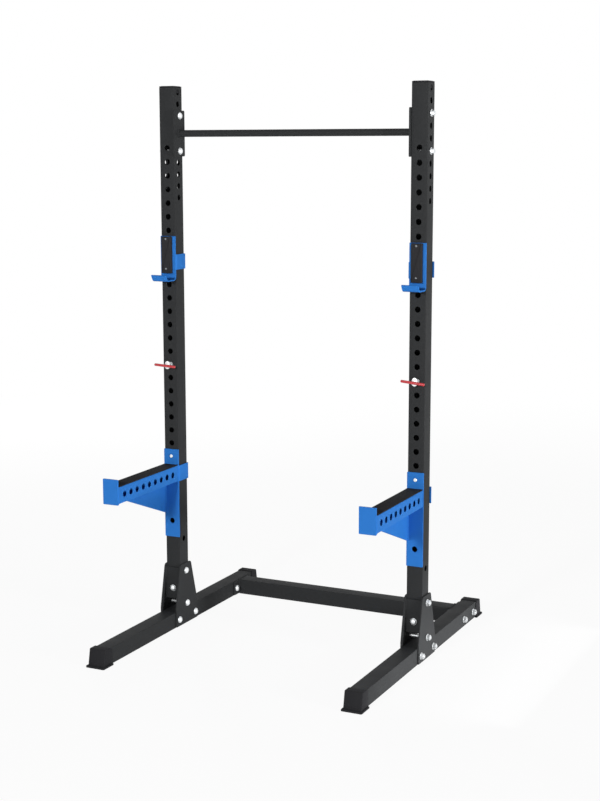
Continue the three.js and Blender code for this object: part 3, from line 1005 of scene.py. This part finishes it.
@dataclass
class Crossmember:
    """Rear tube between the feet, welded to a flange at each end."""

    shop: Workshop
    stock: TubeStock = field(default_factory=TubeStock)
    flange: float = 5 * MM
    flange_width: float = 145 * MM
    flange_height: float = 56 * MM
    flange_corner: float = 6 * MM
    bead: float = 2.4 * MM

    def build(self) -> None:
        """Makes the crossmember."""
        low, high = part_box("crossmember")
        reach = (high.x - low.x) / 2
        inner = reach - self.flange
        wide, tall, half = self.flange_width / 2, self.flange_height / 2, self.stock.half
        outline = rectangle(-wide, wide, -tall, tall, self.flange_corner)
        ring = [(half, -tall), (half, half), (-half, half), (-half, -tall)]
        meshes = [
            self.stock.blank(Axis.X, -inner, inner),
            *(prism(Axis.X, *sorted((way * inner, way * reach)), outline) for way in (-1, 1)),
        ]
        paths = [[Vector((way * inner, y, z)) for y, z in ring] for way in (-1, 1)]
        self.shop.piece("crossmember", [
            *(eased(mesh, self.stock.cut_edge) for mesh in meshes),
            self.shop.bead(paths, self.bead, Finish.BLACK),
        ], Finish.BLACK, centre_of("crossmember"))


@dataclass
class PullUpBar:
    """Round bar welded to a plate at each end."""

    shop: Workshop
    size: float = 25 * MM
    plate: float = 6 * MM
    plate_corner: float = 5 * MM
    bead: float = 2.4 * MM
    cut_edge: float = 0.5 * MM

    def build(self) -> None:
        """Makes the bar."""
        low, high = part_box("pull_up_bar")
        reach, wide, tall = (high - low) / 2
        inner = reach - self.plate
        bar = eased(prism(Axis.X, -inner, inner, circle(self.size, sides=FINE_SIDES)))
        outline = rectangle(-wide, wide, -tall, tall, self.plate_corner)
        plates = [prism(Axis.X, *sorted((way * inner, way * reach)), outline) for way in (-1, 1)]
        rings = [[Vector((way * inner, y, z)) for y, z in circle(self.size)] for way in (-1, 1)]
        self.shop.piece("pull_up_bar", [
            bar, *(eased(mesh, self.cut_edge) for mesh in plates),
            self.shop.bead(rings, self.bead, Finish.BLACK, closed=True),
        ], Finish.BLACK, centre_of("pull_up_bar"))


@dataclass
class HexBolt:
    """Bolt with a domed head, a hexagon nut and a washer under each."""

    size: float = 12 * MM
    flats: float = 19 * MM
    head: float = 7.5 * MM
    dome: float = 23 * MM
    washer: float = 25 * MM
    washer_thick: float = 2.5 * MM
    washer_edge: float = 0.4 * MM
    nut: float = 9.5 * MM
    thread_end: float = 3 * MM
    thread_sides: int = 24
    pitch: float = 1.75 * MM
    thread_depth: float = 0.54
    chamfer_start: float = 0.97
    chamfer_slope: float = 0.6
    chamfer_room: float = 0.05 * MM
    gap: float = 0.3 * MM

    def hexagon(self, low: float, high: float) -> Mesh:
        """Makes a nut whose corners are turned down at both ends.

        Args:
            low: Where it starts along Z.
            high: Where it ends.

        Returns:
            Mesh of the nut.
        """
        across = self.flats / math.cos(math.pi / 6)
        flat, corner = self.flats / 2 * self.chamfer_start, across / 2 + self.chamfer_room
        bite = (across - self.flats) / 2 * self.chamfer_slope
        lathed = turned(Axis.Z, [
            (0.0, low), (flat, low), (corner, low + bite), (corner, high - bite), (flat, high),
            (0.0, high),
        ], FINE_SIDES)
        return eased(carved(prism(Axis.Z, low, high, circle(across, sides=6)), [lathed], "INTERSECT"))

    def build(self, grip: float) -> Mesh:
        """Makes the fastener along Z, with its nut at the top.

        Args:
            grip: Thickness of the stack that it clamps, about the origin.

        Returns:
            Mesh of the whole fastener.
        """
        seat = grip / 2 + self.gap
        rim, soft = self.washer / 2, self.washer_edge
        washers = []
        for way in (-1, 1):
            near, far = way * seat, way * (seat + self.washer_thick)
            washers.append(eased(turned(Axis.Z, [
                (0.0, near), (rim - soft, near), (rim, near + way * soft), (rim, far - way * soft),
                (rim - soft, far), (0.0, far),
            ])))
        head_base = -seat - self.washer_thick
        nut_base = seat + self.washer_thick
        end = nut_base + self.nut + self.thread_end
        shank = self.size / 2
        root = shank - self.pitch * self.thread_depth
        profile = [(0.0, head_base - self.head / 2), (shank, head_base - self.head / 2)]
        turns = int((end - nut_base) / self.pitch)
        for k in range(turns):
            base = nut_base + k * self.pitch
            profile += [(shank, base), (root, base + self.pitch / 2)]
        profile += [(shank, nut_base + turns * self.pitch), (root, end), (0.0, end)]
        stud = eased(turned(Axis.Z, profile, self.thread_sides))
        head = eased(turned(Axis.Z, [
            *((self.dome / 2 * math.sin(a), head_base - self.head * math.cos(a)) for a in quarter(8)),
            (0.0, head_base),
        ]))
        return merged([*washers, stud, head, self.hexagon(nut_base, nut_base + self.nut)])


@dataclass
class Fasteners:
    """Bolts of the frame, in sets that share one grip.

    A CAD bolt is longer at its nut, so the middle of its box lies by `lean` beyond the middle of its stack.
    """

    shop: Workshop
    stock: TubeStock = field(default_factory=TubeStock)
    bolt: HexBolt = field(default_factory=HexBolt)
    lean: float = 4.9 * MM
    plate: float = 5 * MM
    bar_plate: float = 6 * MM
    web_nut: float = 6 * MM
    web_thread_end: float = 1 * MM

    def build(self) -> None:
        """Makes every set. The web's nut is a thin one."""
        through = self.stock.side + self.stock.gap
        thin = replace(self, bolt=replace(self.bolt, nut=self.web_nut, thread_end=self.web_thread_end))
        rear = Vector((0, 1, 0))
        for side in Side:
            out = Vector((side.value, 0, 0))
            clamp = 2 * (self.stock.face + self.plate)
            corners = ("top", "middle", "rear", "front")
            self.build_set(side, "bracket_bolts", "bracket", corners, clamp, out, 2)
            thin.build_set(side, "web_bolt", "bracket", ("web",), through + self.plate, rear, 5)
            self.build_set(side, "bar_bolts", "bar", ("upper", "lower"), through + self.bar_plate, out, 8)
            self.build_set(
                side, "crossmember_bolts", "crossmember", ("front", "rear"), through + self.plate, out, 11
            )

    def build_set(
        self, side: Side, name: str, part: str, places: Sequence[str], grip: float, way: Vector, seed: int
    ) -> None:
        """Makes bolts of one grip.

        Args:
            side: Side of the rack.
            name: Name of the piece, without its side.
            part: Part that they hold, as the CAD bolts name it.
            places: Place of each bolt, as its CAD node names it.
            grip: Thickness of the stack that they clamp.
            way: Direction of their nuts.
            seed: Seed of the turn that each was tightened to, less the side's number.
        """
        nodes = [f"{side.label}_{part}_{place}_bolt" for place in places]
        kind = linked("bolt_kind", self.bolt.build(grip))
        points = bpy.data.meshes.new("bolt_places")
        points.from_pydata([centre_of(node) - way * self.lean for node in nodes], [], [])
        ways = points.attributes.new("nut_way", "FLOAT_VECTOR", "POINT")
        for row in ways.data:
            row.vector = way
        mesh = settled(points, "NODES", {"node_group": self.shop.fasteners}, {
            "Fastener": kind, "Seed": side.value + seed, "Finish": self.shop.materials[Finish.ZINC],
        })
        bpy.data.objects.remove(kind)
        self.shop.piece(f"{side.label}_{name}", [mesh], Finish.ZINC, nodes=nodes)


@dataclass
class HookOn(Part):
    """What a J-hook and a safety arm share: bent sheet, and a strap round the inner side of the upright.

    Its word is what the names of its body and its joint say.
    """

    sheet: float = 5 * MM
    width: float = 62 * MM
    overhang: float = 5 * MM
    peg: float = 19 * MM
    cut_edge: float = 0.6 * MM
    word: str = ""

    @property
    def back(self) -> float:
        """Rear face of the plate, measured along Y from the axis of the upright."""
        return -self.stock.face

    @property
    def front(self) -> float:
        """Front face of the plate."""
        return self.back - self.sheet

    def hung(self, what: str, meshes: Iterable[Mesh], finish: Finish, rise: float = 0.0) -> bpy.types.Object:
        """Makes a piece that swings with this part, its origin so far above the pin."""
        at = pivot_of(self.called(f"{self.word}_swing")) + Vector((0, 0, rise))
        return self.shop.piece(self.called(what), meshes, finish, at, self.called(self.word))

    def strap(self, low: float, high: float) -> Mesh:
        """Strap round the inner side and the rear of the upright.

        Args:
            low: Height of its lower edge.
            high: Height of its upper edge.

        Returns:
            Mesh of the strap.
        """
        line = self.stock.face + self.sheet / 2
        inner = -self.side.value
        shy = line - self.stock.gap / 2
        path = [
            (0.0, -shy, 0.0), (inner * line, -shy, self.stock.corner),
            (inner * line, line, self.stock.corner),
            (-inner * (self.stock.half + self.overhang), line, 0.0),
        ]
        return eased(prism(Axis.Z, low, high, rounded(folded(path, self.sheet))), self.cut_edge)


@dataclass
class JHook(HookOn):
    """J-hook with its pad and two screws."""

    word: str = "hook"
    rise: float = 29.2 * MM
    drop: float = 134.8 * MM
    bend: float = 10 * MM
    tray: float = 95.5 * MM
    lip_rise: float = 24 * MM
    lip_bend: float = 11 * MM
    lip_slope: float = math.radians(60)
    wrap_drop: float = 37.8 * MM
    wrap_height: float = 56 * MM
    peg_reach: float = 24 * MM
    peg_edge: float = 1.2 * MM
    pad_width: float = 39 * MM
    pad_thick: float = 17.4 * MM
    pad_height: float = 135 * MM
    pad_drop: float = 1 * MM
    pad_corner: float = 1.5 * MM
    pad_edge: float = 2.5 * MM
    screw_head: float = 8.5 * MM
    screw_room: float = 0.8 * MM
    screw_proud: float = 1 * MM
    screw_inset: float = 9 * MM
    screw_span: float = 110 * MM
    recess: float = 2.5 * MM
    dome_depth: float = 2.25 * MM
    socket: float = 3.06 * MM
    socket_depth: float = 2 * MM

    def build(self) -> None:
        """Makes the hook, its pad and its screws."""
        half, core = self.width / 2, self.sheet / 2
        line, floor = self.back - core, core - self.drop
        fold = -self.tray + core * math.tan(self.lip_slope / 2)
        run = (self.lip_rise - core) / math.tan(self.lip_slope)
        profile = folded([
            (line, self.rise, 0.0), (line, floor, self.bend), (fold, floor, self.lip_bend),
            (fold - run, floor + self.lip_rise - core, 0.0),
        ], self.sheet)
        plate = eased(prism(Axis.X, -half, half, rounded(profile, FINE_STEPS)), self.cut_edge)
        strap = self.strap(-self.wrap_drop - self.wrap_height, -self.wrap_drop)
        peg = eased(prism(Axis.Y, line, self.back + self.peg_reach, circle(self.peg)), self.peg_edge, 3)
        self.hung("j_hook", [plate, strap, peg], Finish.BLUE)
        self.build_pad()

    def build_pad(self) -> None:
        """Makes the pad and its screws."""
        rear = self.front - self.stock.gap
        face = rear - self.pad_thick
        top = self.rise - self.pad_drop
        half = self.pad_width / 2
        pad = prism(Axis.Y, face, rear, rectangle(top - self.pad_height, top, -half, half, self.pad_corner))
        rises = {"upper": top - self.screw_inset, "lower": top - self.screw_inset - self.screw_span}
        bore = self.screw_head + self.screw_room
        pad = carved(eased(pad, self.pad_edge, 5), [
            prism(Axis.Y, face - self.recess, face + self.recess, circle(bore, z)) for z in rises.values()
        ])
        self.hung("j_hook_pad", [eased(pad)], Finish.WEAR)
        for place, z in rises.items():
            made = self.hung(f"j_hook_{place}_screw", [self.screw(face)], Finish.ZINC, z)
            # the darker zinc on the screws is painted shade of the pad's recess
            made.data.materials[0] = self.shop.dull_zinc

    def screw(self, face: float) -> Mesh:
        """Makes a button head screw with a hexagon socket.

        Args:
            face: Front face of the pad along Y, which its crown just stands proud of.

        Returns:
            Mesh of the screw.
        """
        rim = self.screw_head / 2
        crown, base = face - self.screw_proud, face + self.recess
        dome = [(rim * math.sin(a), crown + self.dome_depth * (1 - math.cos(a))) for a in quarter(8)[1:]]
        head = turned(Axis.Y, [(0.0, crown), *dome, (rim, base), (0.0, base)])
        socket = prism(Axis.Y, crown - self.recess, crown + self.socket_depth, circle(self.socket, sides=6))
        return eased(carved(head, [socket]))


@dataclass
class SafetyArm(HookOn):
    """Safety arm with its liner and pin."""

    word: str = "arm"
    plate_rise: float = 27.2 * MM
    plate_drop: float = 312.8 * MM
    plate_corner: float = 2 * MM
    length: float = 419.7 * MM
    drop: float = 33.8 * MM
    hole: float = 22.5 * MM
    holes: int = 9
    hole_pitch: float = 42.25 * MM
    hole_inset: float = 40.1 * MM
    open_hole: float = 21 * MM
    open_hole_drop: float = 250 * MM
    end_plate: float = 6 * MM
    end_lip: float = 28.5 * MM
    end_foot: float = 4 * MM
    gusset_length: float = 333 * MM
    gusset_depth: float = 127 * MM
    gusset_nose: float = 3 * MM
    liner: float = 3 * MM
    liner_width: float = 58 * MM
    liner_corner: float = 1 * MM
    liner_edge: float = 0.6 * MM
    neck: float = 13 * MM
    pin_proud: float = 1 * MM
    pin_reach: float = 26 * MM
    pin_edge: float = 1 * MM
    bead: float = 2.3 * MM

    @property
    def end(self) -> float:
        """Front end of the tube, along Y."""
        return self.front - self.length

    @property
    def under(self) -> float:
        """Height of the tube's underside."""
        return -self.drop - self.stock.side

    def build(self) -> None:
        """Makes the arm, its liner and its pin."""
        front, end, half = self.front, self.end, self.width / 2
        top, under = -self.drop, self.under
        middle = (top + under) / 2
        outline = rectangle(-self.plate_drop, self.plate_rise, -half, half, self.plate_corner)
        plate = carved(prism(Axis.Y, front, self.back, outline), [
            prism(Axis.Y, front * 2, 0.0, circle(self.open_hole, -self.open_hole_drop)),
            prism(Axis.Y, front * 2, 0.0, circle(self.neck + self.stock.gap * 2)),
        ])
        tube = self.stock.blank(Axis.Y, end, front)
        tube.transform(Matrix.Translation((0, 0, middle)))
        first, step = Vector((0, front - self.hole_inset, middle)), Vector((0, -self.hole_pitch, 0))
        tube = self.shop.drilled(tube, Finish.BLUE, HoleRow(Axis.X, first, step, self.holes, self.hole))
        outline = rectangle(under - self.end_foot, top + self.end_lip, -half, half, self.plate_corner)
        face = prism(Axis.Y, end - self.end_plate, end, outline)
        lap = under + self.stock.wall / 2
        gusset = prism(Axis.X, -self.stock.half, -self.stock.half + self.sheet, [
            (front, lap), (front, under - self.gusset_depth),
            (front - self.gusset_nose, under - self.gusset_depth),
            (front - self.gusset_length, under - self.gusset_nose),
            (front - self.gusset_length, lap),
        ])
        self.hung("safety_arm", [
            *(eased(mesh, self.cut_edge) for mesh in (plate, tube, face, gusset)),
            self.strap(under, top),
            self.welds(),
        ], Finish.BLUE)
        self.build_liner()
        self.build_pin()

    def welds(self) -> Mesh:
        """Beads where the tube meets its plates and where the gusset meets the tube and the plate.

        Returns:
            Mesh of the beads.
        """
        half, front, under = self.stock.half, self.front, self.under
        ring = [(half, under), (half, -self.drop), (-half, -self.drop), (-half, under)]
        edge = -half + self.sheet
        gusset = [(front, under - self.gusset_depth), (front, under), (front - self.gusset_length, under)]
        return self.shop.bead([
            *([Vector((x, y, z)) for x, z in ring] for y in (front, self.end)),
            [Vector((edge, y, z)) for y, z in gusset],
        ], self.bead, Finish.BLUE)

    def build_liner(self) -> None:
        """Makes the liner on the arm."""
        half, gap = self.liner_width / 2, self.stock.gap
        low = gap - self.drop
        section = rectangle(low, low + self.liner, -half, half, self.liner_corner)
        strip = eased(prism(Axis.Y, self.end + gap, self.front - gap, section), self.liner_edge, 2)
        self.hung("safety_arm_liner", [strip], Finish.WEAR)

    def build_pin(self) -> None:
        """Makes the pin: a riveted neck in the plate and a full shank in the upright."""
        step = self.back + self.stock.gap
        tip = step + self.pin_reach
        nose = self.front - self.pin_proud
        neck, shank, soft = self.neck / 2, self.peg / 2, self.pin_edge
        pin = turned(Axis.Y, [
            (0.0, nose), (neck - soft, nose), (neck, nose + soft), (neck, step), (shank, step),
            (shank, tip - soft), (shank - soft, tip), (0.0, tip),
        ])
        self.hung("safety_arm_pin", [eased(pin)], Finish.ZINC)


@dataclass
class TPin(Part):
    """T-pin with an upright oval flange and the red grip on its stem."""

    shank: float = 19 * MM
    past: float = 12 * MM
    soft: float = 1.2 * MM
    flange: tuple[float, float] = (20 * MM, 30 * MM)
    flange_flat: float = 0.1 * MM
    flange_thick: float = 6 * MM
    flange_forward: float = 24 * MM
    stem: float = 8 * MM
    handle_forward: float = 41 * MM
    grip: float = 10 * MM
    grip_sides: int = 24

    @property
    def turn(self) -> Matrix:
        """Turn about its own axis that the pin was left at."""
        angle = {Side.LEFT: 3, Side.RIGHT: 5}[self.side]
        return Matrix.Rotation(math.radians(angle), 4, "Y")

    def build(self) -> None:
        """Makes the pin and its grip."""
        node = self.called("t_pin")
        low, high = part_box(node)
        upright = centre_of(self.called("upright"))
        at = Vector((upright.x, upright.y, (low.z + high.z) / 2))
        rear = -self.stock.face
        bar = rear - self.handle_forward
        mouth, tip = -self.stock.half, self.stock.half + self.past
        shank, stem, soft = self.shank / 2, self.stem / 2, self.soft
        pin = turned(Axis.Y, [
            (0.0, bar), (stem, bar), (stem, mouth + soft), (shank - soft, mouth + soft),
            (shank, mouth + soft * 2), (shank, tip - soft * 2), (shank - soft * 2, tip), (0.0, tip),
        ])
        face = rear - self.flange_forward
        wide, tall = self.flange[0] / 2, self.flange[1] / 2
        oval = rectangle(-tall, tall, -wide, wide, wide - self.flange_flat, FINE_STEPS)
        flange = eased(prism(Axis.Y, face, face + self.flange_thick, oval), soft, 3)
        pin = merged([eased(pin), flange])
        pin.transform(self.turn)
        body = self.called("pull_pin")
        self.shop.piece(node, [pin], Finish.ZINC, at, body)
        self.build_grip(body, at, bar)

    def build_grip(self, body: str, at: Vector, bar: float) -> None:
        """Makes the grip: a bar with round ends.

        Args:
            body: Body that the pin moves with.
            at: Place of the pin's axis.
            bar: Place of the bar's axis along Y.
        """
        node = self.called("t_pin_handle")
        low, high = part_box(node)
        reach = (high.x - low.x) / 2
        radius = self.grip / 2
        dome = [(radius * math.cos(a), reach - radius * (1 - math.sin(a))) for a in quarter(6)[:-1]]
        dome.append((0.0, reach))
        rod = turned(Axis.X, [(r, -along) for r, along in reversed(dome)] + dome, self.grip_sides)
        rod.transform(self.turn @ Matrix.Translation((0, bar, 0)))
        self.shop.piece(node, [eased(rod)], Finish.VINYL, at, body)


@dataclass
class Studio:
    """Pale floor, soft lamps and the camera."""

    floor_size: float = 60.0
    floor_colour: str = "#f7f7f7"
    floor_roughness: float = 0.8
    floor_white: tuple[float, float] = (0.93, 1.0)
    floor_fade: tuple[float, float] = (2.5, 6.0)
    sky: float = 0.05
    strip_height: float = 0.08
    strip_spread: float = 65.0
    aim: Triple = (0.0, 0.0, 0.9)
    focal_pixels: float = 1516.1
    frame_height: float = 801.0
    sensor: float = 36.0
    camera_place: Triple = (2.3794, -4.9102, 1.8156)
    camera_tilt: float = 80.532
    camera_turn: float = 25.62
    camera_roll: float = 0.09

    def build(self) -> None:
        """Makes the floor, the lamps, the world and the camera."""
        self.build_floor()
        self.build_world()
        self.lamp("key", (7.55, -1.5, 1.4), 370.0, 1.2)
        self.lamp("front", (-0.2, -6.9, 2.8), 250.0, 0.6)
        self.lamp("fill", (3.0, -6.5, 1.0), 25.0, 2.0)
        self.lamp("top", (0.0, 0.0, 6.5), 30.0, 5.0)
        self.lamp("rear", (-5.0, 5.5, 1.2), 340.0, 1.2).visible_glossy = False
        strip = self.lamp("low_strip", (1.05, 0.05, 0.05), 1.45, 1.1)
        strip.visible_glossy = False
        strip.data.shape = "RECTANGLE"
        strip.data.size_y = self.strip_height
        strip.data.spread = math.radians(self.strip_spread)
        strip.rotation_euler = (math.pi / 2, 0.0, math.pi / 2)
        self.build_camera()

    def lamp(self, name: str, place: Triple, power: float, size: float) -> bpy.types.Object:
        """Adds a soft square lamp that looks at the middle of the rack.

        Args:
            name: Name of the lamp.
            place: Where it stands.
            power: Its power in watts.
            size: Side of its square.

        Returns:
            The lamp.
        """
        data = bpy.data.lights.new(name, "AREA")
        data.energy = power
        data.size = size
        lamp = linked(name, data)
        lamp.visible_camera = False
        lamp.location = place
        lamp.rotation_euler = (Vector(self.aim) - Vector(place)).to_track_quat("-Z", "Y").to_euler()
        return lamp

    def build_floor(self) -> None:
        """Adds the floor: white to the eye, wholly so far off, with some shading left for the shadow."""
        half = self.floor_size / 2
        corners = [(x, y, 0) for x, y in rectangle(-half, half, -half, half)]
        mesh = bpy.data.meshes.new("floor")
        mesh.from_pydata(corners, [], [(0, 1, 2, 3)])
        material, tree, shader = start_material("pale_studio_floor", {
            "Base Color": linear(self.floor_colour),
            "Roughness": self.floor_roughness,
        })
        far = add_node(tree, "ShaderNodeVectorMath", {0: object_space(tree)}, operation="LENGTH")
        white = add_node(tree, "ShaderNodeMapRange", {
            "Value": far.outputs["Value"], "From Min": self.floor_fade[0],
            "From Max": self.floor_fade[1], "To Min": self.floor_white[0],
            "To Max": self.floor_white[1],
        }, interpolation_type="SMOOTHSTEP")
        share = maths(tree, "MULTIPLY", looked_at(tree), white.outputs[0])
        glow = add_node(tree, "ShaderNodeEmission", {"Color": WHITE, "Strength": 1.0})
        both = add_node(tree, "ShaderNodeMixShader", {0: share, 1: shader.outputs[0], 2: glow.outputs[0]})
        out = next(n for n in tree.nodes if n.type == "OUTPUT_MATERIAL")
        tree.links.new(both.outputs[0], out.inputs["Surface"])
        mesh.materials.append(material)
        floor = linked("floor", mesh)

    def build_world(self) -> None:
        """Gives the world a white look to the camera and to gloss, and a dimmer fill light."""
        world = bpy.data.worlds.new("studio")
        world.use_nodes = True
        tree = world.node_tree
        tree.nodes.clear()
        fill = add_node(tree, "ShaderNodeBackground", {"Color": WHITE, "Strength": self.sky})
        white = add_node(tree, "ShaderNodeBackground", {"Color": WHITE, "Strength": 1.0})
        seen = looked_at(tree)
        both = add_node(tree, "ShaderNodeMixShader", {0: seen, 1: fill.outputs[0], 2: white.outputs[0]})
        add_node(tree, "ShaderNodeOutputWorld", {"Surface": both.outputs[0]})
        bpy.context.scene.world = world

    def build_camera(self) -> None:
        """Puts the camera where the photograph was taken from."""
        data = bpy.data.cameras.new("camera")
        data.sensor_width = self.sensor
        data.lens = self.focal_pixels / self.frame_height * self.sensor
        camera = linked("camera", data)
        camera.location = self.camera_place
        angles = (self.camera_tilt, self.camera_roll, self.camera_turn)
        camera.rotation_euler = [math.radians(angle) for angle in angles]
        bpy.context.scene.camera = camera


def main() -> None:
    """Builds the studio and the rack."""
    logging.basicConfig(level=logging.INFO, format="%(name)s: %(message)s")
    bpy.context.scene.view_settings.view_transform = "Standard"
    Studio().build()
    shop = Workshop()
    for side in Side:
        for part in (Upright, Foot, BaseBracket, JHook, SafetyArm, TPin):
            part(shop, side).build()
    for part in (Crossmember, PullUpBar, Fasteners):
        part(shop).build()


if __name__ == "__main__":
    main()
